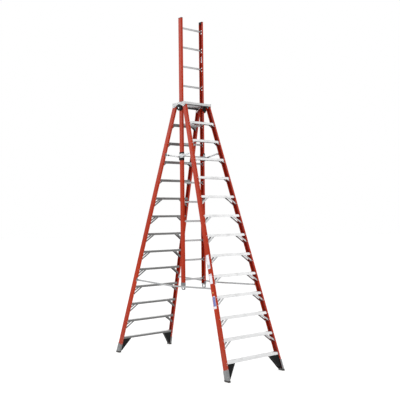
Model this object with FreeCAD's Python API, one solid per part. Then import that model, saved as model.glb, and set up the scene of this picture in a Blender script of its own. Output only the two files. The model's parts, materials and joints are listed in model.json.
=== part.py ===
import FreeCAD, Part
import math
import os

# Self-supporting extension trestle ladder. Millimetres, +Z up, origin on the floor at the middle of
# the four feet. Side A stands at -X and side B at +X; "near" is -Y and "far" is +Y. The fly section
# stands upright between them. Everything is drawn open, with the fly locked part way up.

V = FreeCAD.Vector
ORIGIN = V(0, 0, 0)
AXIS_X = V(1, 0, 0)
AXIS_Y = V(0, 1, 0)
AXIS_Z = V(0, 0, 1)

# Driving dimensions of the two stepped sides
LEAN = 17.37                # each side's lean from upright, degrees
TAPER = 4.025               # each rail's splay within its side, degrees
HINGE_X = 124.6             # head hinge, from the middle of the ladder
HINGE_Z = 4005.0
HINGE_HALF_WIDTH = 238.0    # rail centre line at the hinge
STEP_COUNT = 13
STEP_PITCH = 304.08         # tread to tread, measured down the side
FIRST_STEP = 269.5          # hinge to first tread, measured down the side
SHORT_BRACED_STEPS = 4      # the upper treads have short corner braces

# Rail channel, shared by the sides and the fly
FLANGE = 31.0
WALL = 4.0
OUTER_CORNER = 4.5
INNER_CORNER = 0.8
SIDE_WEB = 80.0
FLY_WEB = 76.0
RAIL_TOP_ABOVE_HINGE = 16.5

# Treads
SKIRT = 36.0
SKIRT_WALL = 2.5
TREAD_WALL = 3.0
TREAD_RIBS = 9
RIB_WIDTH = 3.4
RIB_HEIGHT = 1.3
FIT_GAP = 0.3

# Braces, gussets and feet
STRAP_WALL = 3.0
LONG_STRAP = (156.0, 142.0, 24.0)     # inward, drop, width
SHORT_STRAP = (70.0, 72.0, 20.0)
GUSSET_INWARD = 178.0
GUSSET_DROP = 262.0         # past the boot floor, where it is trimmed
GUSSET_TOP = 14.0           # below the bottom tread
GUSSET_RIVETS = (62.0, 112.0)         # below the bottom tread, on the rail
SOLE_HEIGHT = 24.0
BOOT_TOP = 140.0
BOOT_WALL = 3.2
BOOT_FLOOR = 4.0

# Fly section
FLY_HALF_WIDTH = 209.05     # rail centre line
FLY_BOTTOM = 1205.0         # rail end, above the ring boot
FLY_TOP = 5399.0
RUNG_COUNT = 14
RUNG_PITCH = 304.8
TOP_RUNG = 5247.0
RUNG_RADIUS = 15.0
RING_RADIUS = 38.0
RING_HOLE = 26.0
RING_CENTRE = 1163.0
RUNNING_GAP = 0.7           # fly rail to its guides

# Head
PLATE_INNER = 258.5
PLATE_WALL = 4.0
PLATE_TOP = 4065.0
PLATE_ARCH = 4032.0
HINGE_BOLT_RADIUS = 5.0
HINGE_LUG = 16.0
CAP_RIVETS_X = (104.0, 142.0)
CAP_RIVET_Z = 4042.0
GUIDE_BOLT_RADIUS = 3.0
GUIDE_BOLT_X = 34.0
GUIDE_BOLT_Z = 4046.0
SHIELD_BOLT_Z = 3977.0
CAP_TOP = 4058.0
CAP_BOTTOM = 4023.0
CAP_INNER = 84.0
CAP_OUTER = 162.0
LOCK_BAR_X = -55.0
LOCK_BAR_Z = 3995.0
LOCK_BAR_RADIUS = 12.5
LOCK_Y = 165.0
LOCK_WALL = 6.0
SEAT_RADIUS = 15.4
CRADLE_RADIUS = 27.4
LOCKED_RUNG = 4             # counted down from the top rung, which is rung 0

# Spreaders
PIN_INSET = 55.0            # rail centre line to spreader pin, across the side
LOWER_PIN = 2885.0          # hinge to pin, measured down the side
UPPER_PIN = 768.6
BAR_WIDTH = 25.0
BAR_WALL = 4.0
EAR_OUTER = -10.5           # bracket ear, from the rail centre line
EAR_RADIUS = 14.0
LOWER_SAG = 30.0            # middle pivot below the rail pins
LOWER_BAR_A = -16.0         # bar centre plane, from the rail centre line
LOWER_BAR_B = -20.6
UPPER_BAR_A = 254.0         # bar centre plane, from the middle of the ladder
UPPER_BAR_B = 262.0
CARRIAGE_PIVOT_X = 48.0
CARRIAGE_PIVOT_Z = 3212.0
CARRIAGE_BOX = 4.1          # fly rail to the carriage bracket
BRACKET_WALL = 3.0
PIN_RADIUS = 4.0
PIN_HEAD_RADIUS = 7.0
PIN_HEAD = 2.0
PIN_SPACER_RADIUS = 6.5
PIN_GAP = 0.06

# Rivets
RIVET_RADIUS = 2.4
RIVET_HEAD = 5.0
RIVET_RISE = 1.7
HOLE_GAP = 0.05

COS_LEAN = math.cos(math.radians(LEAN))
SIN_LEAN = math.sin(math.radians(LEAN))
TAN_LEAN = SIN_LEAN / COS_LEAN
TAN_TAPER = math.tan(math.radians(TAPER))
COS_TAPER = math.cos(math.radians(TAPER))
SIDE_HALF = SIDE_WEB / 2
SKIRT_OUTER = SIDE_HALF - WALL - FIT_GAP
SKIRT_INNER = SKIRT_OUTER - SKIRT_WALL
STRAP_INNER = SKIRT_INNER - STRAP_WALL
CHEEK_OUTER = SKIRT_INNER - 0.1
CHEEK_INNER = CHEEK_OUTER - STRAP_WALL
WEB_INSIDE = FLANGE / 2 - WALL


# ---------------------------------------------------------------- shape helpers

def prism(points, direction):
    """Extrude a closed flat outline."""
    return Part.Face(Part.makePolygon(points + [points[0]])).extrude(direction)


def block(x0, x1, y0, y1, z0, z1):
    return Part.makeBox(x1 - x0, y1 - y0, z1 - z0, V(x0, y0, z0))


def turned(start, direction, profile):
    """Solid of revolution; profile lists (distance along the axis, radius)."""
    outline = [V(0, 0, profile[0][0])]
    outline += [V(radius, 0, distance) for distance, radius in profile]
    outline.append(V(0, 0, profile[-1][0]))
    face = Part.Face(Part.makePolygon(outline + [outline[0]]))
    solid = face.revolve(ORIGIN, AXIS_Z, 360)
    solid.Placement = FreeCAD.Placement(start, FreeCAD.Rotation(AXIS_Z, direction))
    return solid


def stadium(start, end, width, thickness, hole_radius):
    """Flat bar with round ends and a hole at each; thickness is a vector."""
    along = V(end.sub(start)).normalize()
    side = along.cross(V(thickness).normalize()) * (width / 2)
    tip = along * (width / 2)
    edges = [
        Part.LineSegment(start + side, end + side).toShape(),
        Part.Arc(end + side, end + tip, end - side).toShape(),
        Part.LineSegment(end - side, start - side).toShape(),
        Part.Arc(start - side, start - tip, start + side).toShape(),
    ]
    bar = Part.Face(Part.Wire(edges)).extrude(thickness)
    if hole_radius:
        for centre in (start, end):
            bar = bar.cut(Part.makeCylinder(hole_radius, thickness.Length, centre, thickness))
    return bar


def long_edges_at(shape, x, y):
    """Upright edges that stand at (x, y) or (-x, y)."""
    return [edge for edge in shape.Edges if edge.BoundBox.ZLength > 100
            and abs(abs(edge.CenterOfMass.x) - x) < 0.05 and abs(edge.CenterOfMass.y - y) < 0.05]


def channel(web, length):
    """Channel standing on z = 0: web towards +Y, flanges towards -Y, centred on the Z axis."""
    x = web / 2
    y = FLANGE / 2
    inner_x = x - WALL
    inner_y = y - WALL
    outline = [V(-x, -y, 0), V(-inner_x, -y, 0), V(-inner_x, inner_y, 0), V(inner_x, inner_y, 0),
               V(inner_x, -y, 0), V(x, -y, 0), V(x, y, 0), V(-x, y, 0)]
    rail = prism(outline, V(0, 0, length))
    rail = rail.makeFillet(OUTER_CORNER, long_edges_at(rail, x, y))
    return rail.makeFillet(INNER_CORNER, long_edges_at(rail, inner_x, inner_y))


def pair(far):
    """A piece on the far side with its near twin."""
    return [far, far.mirror(ORIGIN, AXIS_Y)]


def round_hole(x, z, radius, y0=-400, y1=400):
    """Cutter for a hole along Y."""
    return Part.makeCylinder(radius, y1 - y0, V(x, y0, z), AXIS_Y)


def write(name, shapes):
    """Export one node; a list becomes a group of separate solids."""
    solids = []
    for shape in shapes:
        solids += shape.Solids
    shape = solids[0] if len(solids) == 1 else Part.makeCompound(solids)
    if not shape.isValid():
        print("INVALID", name)
    shape.exportStep("parts/" + name + ".step")


# ---------------------------------------------------------------- the frame of one side
#
# A side is drawn flat: its hinge on the Y axis, X across the rails (outwards), Z up the side.
# Side B is that drawing leaned and moved to its hinge; side A is side B turned half round.

def place_b(shape):
    placed = shape.copy()
    placed.rotate(ORIGIN, AXIS_Y, -LEAN)
    placed.translate(V(HINGE_X, 0, HINGE_Z))
    return placed


def place_a(shape):
    placed = place_b(shape)
    placed.rotate(ORIGIN, AXIS_Z, 180)
    return placed


def rail_y(down):
    """Rail centre line, from the middle of the side."""
    return HINGE_HALF_WIDTH + TAN_TAPER * down


PLACE = {"a": place_a, "b": place_b}
LOWER_PLANE = {"a": rail_y(LOWER_PIN) + LOWER_BAR_A, "b": rail_y(LOWER_PIN) + LOWER_BAR_B}
UPPER_PLANE = {"a": UPPER_BAR_A, "b": UPPER_BAR_B}


def step_down(index):
    return FIRST_STEP + STEP_PITCH * (index - 1)


def depth_of(height):
    """Distance down the side at which its centre plane has this height above the floor."""
    return (HINGE_Z - height) / COS_LEAN


def along_rail(shape, sign):
    """Set a shape drawn standing round the Z axis onto the rail at +Y or -Y of the side."""
    placed = shape.copy()
    if sign < 0:
        placed.rotate(ORIGIN, AXIS_Z, 180)
    placed.rotate(ORIGIN, AXIS_X, sign * TAPER)
    placed.translate(V(0, sign * HINGE_HALF_WIDTH, 0))
    return placed


def above(height):
    """In the side's own frame, everything above a level plane of the standing ladder."""
    size = 12000
    slab = block(-size / 2, size / 2, -size / 2, size / 2, height, height + size)
    slab.translate(V(-HINGE_X, 0, -HINGE_Z))
    slab.rotate(ORIGIN, AXIS_Y, LEAN)
    return slab


def skirt_middle(front):
    """Height of a skirt's middle from its tread; front is +1 outside, -1 inside."""
    return -front * SKIRT_OUTER * TAN_LEAN - SKIRT / 2


def strap_sizes(index):
    return SHORT_STRAP if index <= SHORT_BRACED_STEPS else LONG_STRAP


def strap_ends(index, sign, front):
    """A corner brace's two rivet centres: under the tread, and on the rail below."""
    inward, drop, width = strap_sizes(index)
    down = step_down(index)
    under_tread = V(0, sign * (rail_y(down) - inward), -down + skirt_middle(front))
    on_rail = V(0, sign * (rail_y(down + drop) - 6), -down - drop)
    return under_tread, on_rail


def step_rivet(index, sign, front):
    down = step_down(index) - skirt_middle(front)
    return V(0, sign * (rail_y(down) - 3), -down)


def gusset_rivet(drop, sign):
    down = step_down(STEP_COUNT) + drop
    return V(0, sign * (rail_y(down) - 4), -down)


def corners():
    return [(sign, front) for sign in (1, -1) for front in (1, -1)]


def drill(centre, front, x0, x1):
    """Cutter for a rivet hole that runs across the side, between two depths from its middle."""
    start = V(front * x0, centre.y, centre.z)
    return Part.makeCylinder(RIVET_RADIUS + HOLE_GAP, x1 - x0, start, V(front, 0, 0))


def side_rail(sign):
    bottom = depth_of(SOLE_HEIGHT + BOOT_FLOOR) + 60
    rail = channel(SIDE_WEB, bottom + 60)
    rail.translate(V(0, 0, -bottom))
    rail = along_rail(rail, sign)
    rail = rail.common(above(SOLE_HEIGHT + BOOT_FLOOR + 0.5))
    rail = rail.cut(above(HINGE_Z + RAIL_TOP_ABOVE_HINGE))
    rail = rail.cut(block(-80, 80, -400, 400, RAIL_TOP_ABOVE_HINGE, 200))
    hinge_radius = HINGE_BOLT_RADIUS + 0.08
    holes = [Part.makeCylinder(hinge_radius, 60, V(0, sign * (HINGE_HALF_WIDTH - 20), 0), V(0, sign, 0))]
    for front in (1, -1):
        centres = [step_rivet(index, sign, front) for index in range(1, STEP_COUNT + 1)]
        centres += [strap_ends(index, sign, front)[1] for index in range(1, STEP_COUNT)]
        centres += [gusset_rivet(drop, sign) for drop in GUSSET_RIVETS]
        holes += [drill(centre, front, SIDE_HALF - 6, SIDE_HALF + 2) for centre in centres]
    return rail.cut(Part.makeCompound(holes))


def tread_section():
    """Ribbed tread with skirts that lie along the rails; the tread is level on the standing side."""
    def level(u, v):
        return V(u * COS_LEAN + v * SIN_LEAN, 0, -u * SIN_LEAN + v * COS_LEAN)

    half = SKIRT_OUTER / COS_LEAN
    pitch = 2 * half / (TREAD_RIBS + 0.5)
    outline = [V(-SKIRT_OUTER, 0, SKIRT_OUTER * TAN_LEAN)]
    for rib in range(TREAD_RIBS):
        left = -half + pitch * (rib + 0.5)
        outline.append(level(left, 0))
        outline.append(level(left + 0.6, RIB_HEIGHT))
        outline.append(level(left + RIB_WIDTH - 0.6, RIB_HEIGHT))
        outline.append(level(left + RIB_WIDTH, 0))
    rise = SKIRT_OUTER * TAN_LEAN
    inside = SKIRT_INNER * TAN_LEAN - TREAD_WALL / COS_LEAN
    outline.append(V(SKIRT_OUTER, 0, -rise))
    outline.append(V(SKIRT_OUTER, 0, -rise - SKIRT))
    outline.append(V(SKIRT_INNER, 0, -rise - SKIRT))
    outline.append(V(SKIRT_INNER, 0, -SKIRT_INNER * TAN_LEAN - TREAD_WALL / COS_LEAN))
    outline.append(V(-SKIRT_INNER, 0, inside))
    outline.append(V(-SKIRT_INNER, 0, rise - SKIRT))
    outline.append(V(-SKIRT_OUTER, 0, rise - SKIRT))
    return outline


def between_webs():
    """Space between the two rail webs of a side, less the fitting gap."""
    reach = WEB_INSIDE / COS_TAPER - FIT_GAP
    low = depth_of(0)
    outline = [V(-60, -(rail_y(0) + reach), 0), V(-60, rail_y(0) + reach, 0),
               V(-60, rail_y(low) + reach, -low), V(-60, -(rail_y(low) + reach), -low)]
    return prism(outline, V(120, 0, 0))


def tread(index, section, space):
    down = step_down(index)
    half = rail_y(down + 60) + FLANGE
    outline = [V(p.x, -half, p.z - down) for p in section]
    step = prism(outline, V(0, 2 * half, 0)).common(space)
    holes = []
    for sign, front in corners():
        centres = [step_rivet(index, sign, front)]
        if index < STEP_COUNT:
            centres.append(strap_ends(index, sign, front)[0])
        holes += [drill(centre, front, SKIRT_INNER - 2, SKIRT_OUTER + 2) for centre in centres]
    return step.cut(Part.makeCompound(holes))


def knee_braces():
    straps = []
    for index in range(1, STEP_COUNT):
        width = strap_sizes(index)[2]
        for sign, front in corners():
            under_tread, on_rail = strap_ends(index, sign, front)
            shift = V(front * STRAP_INNER, 0, 0)
            wall = V(front * STRAP_WALL, 0, 0)
            straps.append(stadium(under_tread + shift, on_rail + shift, width, wall,
                                  RIVET_RADIUS + HOLE_GAP))
    return straps


def rivet(centre, front, outside, inside, shoulder):
    """Rivet set across the side; outside and inside are the faces it grips, shoulder a spacer."""
    head = [(-RIVET_RISE, 2.6), (-RIVET_RISE * 0.45, RIVET_HEAD - 0.7), (0, RIVET_HEAD), (0, RIVET_RADIUS)]
    grip = outside - inside
    body = []
    if shoulder:
        start, end = outside - shoulder[0], outside - shoulder[1]
        body = [(start, RIVET_RADIUS), (start, RIVET_HEAD), (end, RIVET_HEAD), (end, RIVET_RADIUS)]
    tail = [(grip, RIVET_RADIUS), (grip, RIVET_HEAD - 0.8), (grip + RIVET_RISE, RIVET_HEAD - 1.8)]
    start = V(front * outside, centre.y, centre.z)
    return turned(start, V(-front, 0, 0), head + body + tail)


def side_rivets():
    """Rivets of the treads, the corner braces and the foot gussets."""
    rivets = []
    flange_inside = SIDE_HALF - WALL
    for sign, front in corners():
        for index in range(1, STEP_COUNT):
            rivets.append(rivet(step_rivet(index, sign, front), front, SIDE_HALF, SKIRT_INNER, None))
            under_tread, on_rail = strap_ends(index, sign, front)
            rivets.append(rivet(under_tread, front, SKIRT_OUTER, STRAP_INNER, None))
            rivets.append(rivet(on_rail, front, SIDE_HALF, STRAP_INNER, (flange_inside, SKIRT_INNER)))
        last = CHEEK_INNER if front > 0 else SKIRT_INNER
        rivets.append(rivet(step_rivet(STEP_COUNT, sign, front), front, SIDE_HALF, last, None))
        for drop in GUSSET_RIVETS:
            shoulder = (flange_inside, CHEEK_OUTER)
            rivets.append(rivet(gusset_rivet(drop, sign), front, SIDE_HALF, CHEEK_INNER, shoulder))
    return rivets


def foot_gusset(sign):
    """Folded plate from the bottom tread down to the foot: two cheeks and a sloping back."""
    def outline(x, margin):
        down = step_down(STEP_COUNT)
        top = -down - GUSSET_TOP + margin * 3
        low = down + GUSSET_DROP + margin * 3
        web = WEB_INSIDE / COS_TAPER - FIT_GAP + margin * 3
        inner = rail_y(down) + web - GUSSET_INWARD
        return [V(x, sign * (rail_y(-top) + web), top),
                V(x, sign * inner, top),
                V(x, sign * inner, -down - 36 + margin * 0.5),
                V(x, sign * (rail_y(low) - FLANGE / 2 - 6 + margin), -low),
                V(x, sign * (rail_y(low) + web), -low)]

    outer = prism(outline(-CHEEK_OUTER, 0), V(2 * CHEEK_OUTER, 0, 0))
    inner = prism(outline(-CHEEK_INNER, STRAP_WALL), V(2 * CHEEK_INNER, 0, 0))
    holes = [drill(step_rivet(STEP_COUNT, sign, 1), 1, CHEEK_INNER - 1, CHEEK_OUTER + 1)]
    for front in (1, -1):
        for drop in GUSSET_RIVETS:
            holes.append(drill(gusset_rivet(drop, sign), front, CHEEK_INNER - 1, CHEEK_OUTER + 1))
    return outer.cut([inner] + holes).common(above(SOLE_HEIGHT + BOOT_FLOOR + 0.5))


def foot_boot(sign):
    """Metal shoe round the rail end, open on the inner side, with a level floor."""
    low = depth_of(0) + 80
    high = depth_of(BOOT_TOP)
    x = SIDE_HALF + 0.2
    y = FLANGE / 2 + 0.2
    outer = block(-x - BOOT_WALL, x + BOOT_WALL, -FLANGE / 2, y + BOOT_WALL, -low, -high)
    edges = [e for e in outer.Edges if e.Length > 150 and e.CenterOfMass.y > 0]
    outer = along_rail(outer.makeFillet(5.0, edges), sign).common(above(SOLE_HEIGHT))
    cavity = along_rail(block(-x, x, -FLANGE, y, -low, -high + 1), sign)
    return outer.cut(cavity.common(above(SOLE_HEIGHT + BOOT_FLOOR)))


def foot_sole(sign):
    """Rubber pad under the boot, flat on the floor, with two grooves across."""
    low = depth_of(0) + 80
    high = depth_of(SOLE_HEIGHT) - 80
    x = SIDE_HALF + BOOT_WALL + 2.4
    pad = block(-x, x, -FLANGE / 2 - 3, FLANGE / 2 + BOOT_WALL + 2.4, -low, -high)
    edges = [e for e in pad.Edges if e.Length > 150]
    pad = along_rail(pad.makeFillet(5.0, edges), sign)
    pad = pad.common(above(0)).cut(above(SOLE_HEIGHT))
    foot_x = HINGE_X + TAN_LEAN * HINGE_Z
    pad = place_b(pad)
    for shift in (-24, 0, 24):
        pad = pad.cut(block(foot_x + shift - 2, foot_x + shift + 2, -900, 900, -1, 3))
    return pad


def spreader_pin(gap_start):
    """Headed pin drawn along +Z; the bar sits between gap_start and the end flange."""
    gap_end = gap_start + BAR_WALL + 2 * FIT_GAP
    past_ear = PIN_HEAD + STRAP_WALL
    profile = [(0, PIN_HEAD_RADIUS - 0.8), (0.6, PIN_HEAD_RADIUS), (PIN_HEAD, PIN_HEAD_RADIUS),
               (PIN_HEAD, PIN_RADIUS)]
    if gap_start > past_ear + 0.5:
        profile += [(past_ear, PIN_RADIUS), (past_ear, PIN_SPACER_RADIUS),
                    (gap_start, PIN_SPACER_RADIUS), (gap_start, PIN_RADIUS)]
    profile += [(gap_end, PIN_RADIUS), (gap_end, PIN_HEAD_RADIUS), (gap_end + 1.6, PIN_HEAD_RADIUS),
                (gap_end + 2.4, PIN_HEAD_RADIUS - 0.8)]
    return profile


def bracket_and_pin(down, sign, bar_plane):
    """Angle bracket on the rail's inner flange with the spreader's pin through its ear."""
    centre = rail_y(down)
    ear_outer = centre + EAR_OUTER
    ear_inner = ear_outer - STRAP_WALL
    leg = block(-SIDE_HALF - STRAP_WALL, -SIDE_HALF, ear_inner, centre + 8.5, -down - 32, -down + 32)
    ear = block(-PIN_INSET, -SIDE_HALF, ear_inner, ear_outer, -down - EAR_RADIUS, -down + EAR_RADIUS)
    ear = ear.fuse(Part.makeCylinder(EAR_RADIUS, STRAP_WALL, V(-PIN_INSET, ear_inner, -down), AXIS_Y))
    hole = round_hole(-PIN_INSET, -down, PIN_RADIUS + HOLE_GAP)
    bracket = leg.fuse(ear).cut(hole).removeSplitter()
    pin_start = ear_outer + PIN_HEAD
    gap_start = pin_start - (bar_plane + BAR_WALL / 2 + FIT_GAP)
    pin = turned(V(-PIN_INSET, pin_start, -down), V(0, -1, 0), spreader_pin(gap_start))
    if sign > 0:
        return [bracket, pin]
    return [shape.mirror(ORIGIN, AXIS_Y) for shape in (bracket, pin)]


def spreader_brackets(side):
    found = []
    for sign in (1, -1):
        found += bracket_and_pin(LOWER_PIN, sign, LOWER_PLANE[side])
        found += bracket_and_pin(UPPER_PIN, sign, UPPER_PLANE[side])
    return found


def build_side(side):
    place = PLACE[side]
    prefix = "side_" + side + "_"
    names = {1: "far", -1: "near"} if side == "b" else {1: "near", -1: "far"}
    for sign in (1, -1):
        write(prefix + names[sign] + "_rail", [place(side_rail(sign))])
    section = tread_section()
    space = between_webs()
    for index in range(1, STEP_COUNT + 1):
        write(prefix + "step_%02d" % index, [place(tread(index, section, space))])
    write(prefix + "knee_braces", [place(strap) for strap in knee_braces()])
    write(prefix + "rivets", [place(item) for item in side_rivets()])
    write(prefix + "foot_gussets", [place(foot_gusset(sign)) for sign in (1, -1)])
    write(prefix + "foot_boots", [place(foot_boot(sign)) for sign in (1, -1)])
    soles = [foot_sole(sign) for sign in (1, -1)]
    if side == "a":
        for sole in soles:
            sole.rotate(ORIGIN, AXIS_Z, 180)
    write(prefix + "foot_soles", soles)
    write(prefix + "spreader_brackets", [place(item) for item in spreader_brackets(side)])


# ---------------------------------------------------------------- spreaders

def pin_on_b(down):
    """Spreader pin of side B in the standing ladder, as (x, z)."""
    x = HINGE_X - PIN_INSET * COS_LEAN + down * SIN_LEAN
    z = HINGE_Z - PIN_INSET * SIN_LEAN - down * COS_LEAN
    return x, z


def spreader_bar(start, end, plane, outward):
    """Flat bar in a plane of constant y, with a pivot head at its free end on one face."""
    wall = V(0, BAR_WALL, 0)
    bar = stadium(V(start[0], plane - BAR_WALL / 2, start[1]),
                  V(end[0], plane - BAR_WALL / 2, end[1]), BAR_WIDTH, wall, None)
    bar = bar.cut(Part.makeCylinder(PIN_RADIUS + PIN_GAP, BAR_WALL,
                                    V(start[0], plane - BAR_WALL / 2, start[1]), AXIS_Y))
    head = turned(V(end[0], plane + outward * (BAR_WALL / 2 - 0.5), end[1]), V(0, outward, 0),
                  [(0, 9), (2.2, 9), (3.2, 7.6)])
    return bar.fuse(head)


def on_side(side, shapes):
    """Shapes drawn for side B, turned over to -X for side A."""
    if side == "b":
        return shapes
    return [shape.mirror(ORIGIN, AXIS_X) for shape in shapes]


def lower_bars(side):
    x, z = pin_on_b(LOWER_PIN)
    outward = 1 if side == "a" else -1
    bar = spreader_bar((x, z), (0, z - LOWER_SAG), LOWER_PLANE[side], outward)
    return on_side(side, pair(bar))


def upper_bars(side):
    free_end = (CARRIAGE_PIVOT_X, CARRIAGE_PIVOT_Z)
    bar = spreader_bar(pin_on_b(UPPER_PIN), free_end, UPPER_PLANE[side], 1)
    return on_side(side, pair(bar))


# ---------------------------------------------------------------- fly section

def fly_rail(sign):
    rail = channel(FLY_WEB, FLY_TOP - FLY_BOTTOM)
    rail.translate(V(0, FLY_HALF_WIDTH, FLY_BOTTOM))
    if sign < 0:
        rail.rotate(ORIGIN, AXIS_Z, 180)
    return rail


def rung_heights():
    return [TOP_RUNG - RUNG_PITCH * index for index in range(RUNG_COUNT)]


def fly_rungs():
    half = FLY_HALF_WIDTH + WEB_INSIDE - 0.2
    tube = Part.makeCylinder(RUNG_RADIUS, 2 * half, V(0, -half, 0), AXIS_Y)
    tube = tube.cut(Part.makeCylinder(RUNG_RADIUS - 2, 2 * half, V(0, -half, 0), AXIS_Y))
    rungs = []
    for height in rung_heights():
        rung = tube.copy()
        rung.translate(V(0, 0, height))
        rungs.append(rung)
    return rungs


def rung_plates():
    """Flanged plate round each rung end, against the rail's web, with four rivet heads."""
    web = FLY_HALF_WIDTH + WEB_INSIDE
    plate = block(-24, 24, web - 3, web, -31, 31)
    plate = plate.makeFillet(9, [e for e in plate.Edges if abs(e.Length - 3) < 0.1])
    collar = turned(V(0, web - 3, 0), V(0, -1, 0), [(-1, 20), (2.4, 20), (5, 17.4)])
    plate = plate.fuse(collar)
    for x in (-16, 16):
        for z in (-23, 23):
            plate = plate.fuse(turned(V(x, web - 3, z), V(0, -1, 0), [(-1, 4.2), (0.8, 4.2), (1.7, 2.4)]))
    plate = plate.cut(round_hole(0, 0, RUNG_RADIUS + HOLE_GAP, 0))
    plates = []
    for height in rung_heights():
        far = plate.copy()
        far.translate(V(0, 0, height))
        plates += pair(far)
    return plates


def fly_end_plug():
    """Plastic plug in the open top of the far fly rail."""
    x = FLY_WEB / 2
    y = FLANGE / 2
    lid = block(-x - 1, x + 1, FLY_HALF_WIDTH - y - 1, FLY_HALF_WIDTH + y + 1, FLY_TOP, FLY_TOP + 8)
    lid = lid.makeFillet(3.0, [e for e in lid.Edges if e.CenterOfMass.z > FLY_TOP + 1])
    stem_x = x - WALL - FIT_GAP
    stem = block(-stem_x, stem_x, FLY_HALF_WIDTH - y, FLY_HALF_WIDTH + WEB_INSIDE - FIT_GAP,
                 FLY_TOP - 26, FLY_TOP)
    return lid.fuse(stem)


def fly_boot():
    """Metal boot on the far fly rail: a collar round the channel and a ring below it."""
    wall = 3.0
    ring_wall = 13.0
    x = FLY_WEB / 2 + 0.2
    y = FLY_HALF_WIDTH + FLANGE / 2 + 0.2
    inner = FLY_HALF_WIDTH - FLANGE / 2
    low = FLY_BOTTOM - 10
    collar = block(-x - wall, x + wall, inner, y + wall, low, FLY_BOTTOM + 38)
    upright = [e for e in collar.Edges if e.BoundBox.ZLength > 47 and e.CenterOfMass.y > y]
    collar = collar.makeFillet(5, upright)
    collar = collar.cut(block(-x, x, inner - 5, y, FLY_BOTTOM - 0.3, FLY_BOTTOM + 60))
    ring_y = FLY_HALF_WIDTH - 5
    ring = round_hole(0, RING_CENTRE, RING_RADIUS, ring_y, ring_y + ring_wall)
    neck = block(-RING_RADIUS, RING_RADIUS, ring_y, ring_y + ring_wall, RING_CENTRE, low + 1)
    return collar.fuse([ring, neck]).cut(round_hole(0, RING_CENTRE, RING_HOLE)).removeSplitter()


# ---------------------------------------------------------------- fly carriage

def carriage_bracket():
    """Folded plate round the far fly rail, with a boss for each upper spreader bar."""
    x = FLY_WEB / 2 + CARRIAGE_BOX + 0.9
    outer = FLY_HALF_WIDTH + FLANGE / 2 + CARRIAGE_BOX
    inner = FLY_HALF_WIDTH - FLANGE / 2
    low = CARRIAGE_PIVOT_Z - 17
    high = low + 66
    wrap = block(-x - BRACKET_WALL, x + BRACKET_WALL, inner, outer + BRACKET_WALL, low, high)
    upright = [e for e in wrap.Edges if e.BoundBox.ZLength > 60 and e.CenterOfMass.y > outer]
    wrap = wrap.makeFillet(4, upright)
    wrap = wrap.cut(block(-x, x, inner - 5, outer, low - 1, high + 1))
    ear = CARRIAGE_PIVOT_X + 12
    ears = block(-ear, ear, outer, outer + BRACKET_WALL, CARRIAGE_PIVOT_Z - 13, CARRIAGE_PIVOT_Z + 13)
    bosses = []
    for direction, bar_plane in ((-1, UPPER_BAR_A), (1, UPPER_BAR_B)):
        start = V(direction * CARRIAGE_PIVOT_X, outer + 0.5, CARRIAGE_PIVOT_Z)
        length = bar_plane - BAR_WALL / 2 - 1 - outer
        bosses.append(turned(start, AXIS_Y, [(0, 9), (length, 7.5)]))
    return wrap.fuse([ears] + bosses).removeSplitter()


def carriage_tube():
    """Cross tube between the two brackets, just outside the fly rails."""
    radius = 8.0
    half = FLY_HALF_WIDTH - FLANGE / 2 + 6
    x = FLY_WEB / 2 + 17.2
    z = CARRIAGE_PIVOT_Z + 6
    return round_hole(x, z, radius, -half, half).cut(round_hole(x, z, radius - 2))


def carriage_liner():
    """Plastic channel between the bracket and the far fly rail, standing out above and below."""
    x = FLY_WEB / 2
    outer = FLY_HALF_WIDTH + FLANGE / 2
    inner = FLY_HALF_WIDTH - FLANGE / 2 + 1
    low = CARRIAGE_PIVOT_Z - 56
    high = low + 126
    fill = CARRIAGE_BOX - 0.2
    liner = block(-x - fill - 0.9, x + fill + 0.9, inner, outer + fill, low, high)
    lip = block(-x - 8, x + 8, inner + 3, outer + 7, low, low + 36)
    space = block(-x - RUNNING_GAP, x + RUNNING_GAP, inner - 5, outer + RUNNING_GAP, low - 1, high + 1)
    return liner.fuse(lip).cut(space)


# ---------------------------------------------------------------- head

def both_ways(places):
    """Places given as (x, z) with x positive, and their twins at -x."""
    return places + [(-x, z) for x, z in places]


def head_plate():
    """Far end plate: level on top, arched below, with a lug for each hinge bolt."""
    reach = HINGE_X + 38
    lug_bottom = HINGE_Z - HINGE_LUG
    right = [(reach, PLATE_TOP), (reach, HINGE_Z + 4), (HINGE_X + HINGE_LUG, lug_bottom + 4),
             (HINGE_X + 6, lug_bottom), (HINGE_X - HINGE_LUG, lug_bottom), (HINGE_X - 26, HINGE_Z - 6),
             (20, PLATE_ARCH)]
    left = [(-x, z) for x, z in reversed(right)]
    outline = [V(x, PLATE_INNER, z) for x, z in right + left]
    plate = prism(outline, V(0, PLATE_WALL, 0))
    holes = [round_hole(x, z, HINGE_BOLT_RADIUS + HOLE_GAP) for x, z in both_ways([(HINGE_X, HINGE_Z)])]
    holes += [round_hole(x, z, GUIDE_BOLT_RADIUS + HOLE_GAP)
              for x, z in both_ways([(GUIDE_BOLT_X, GUIDE_BOLT_Z)])]
    holes += [round_hole(x, z, RIVET_RADIUS + HOLE_GAP)
              for x, z in both_ways([(x, CAP_RIVET_Z) for x in CAP_RIVETS_X])]
    return plate.cut(holes)


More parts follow.
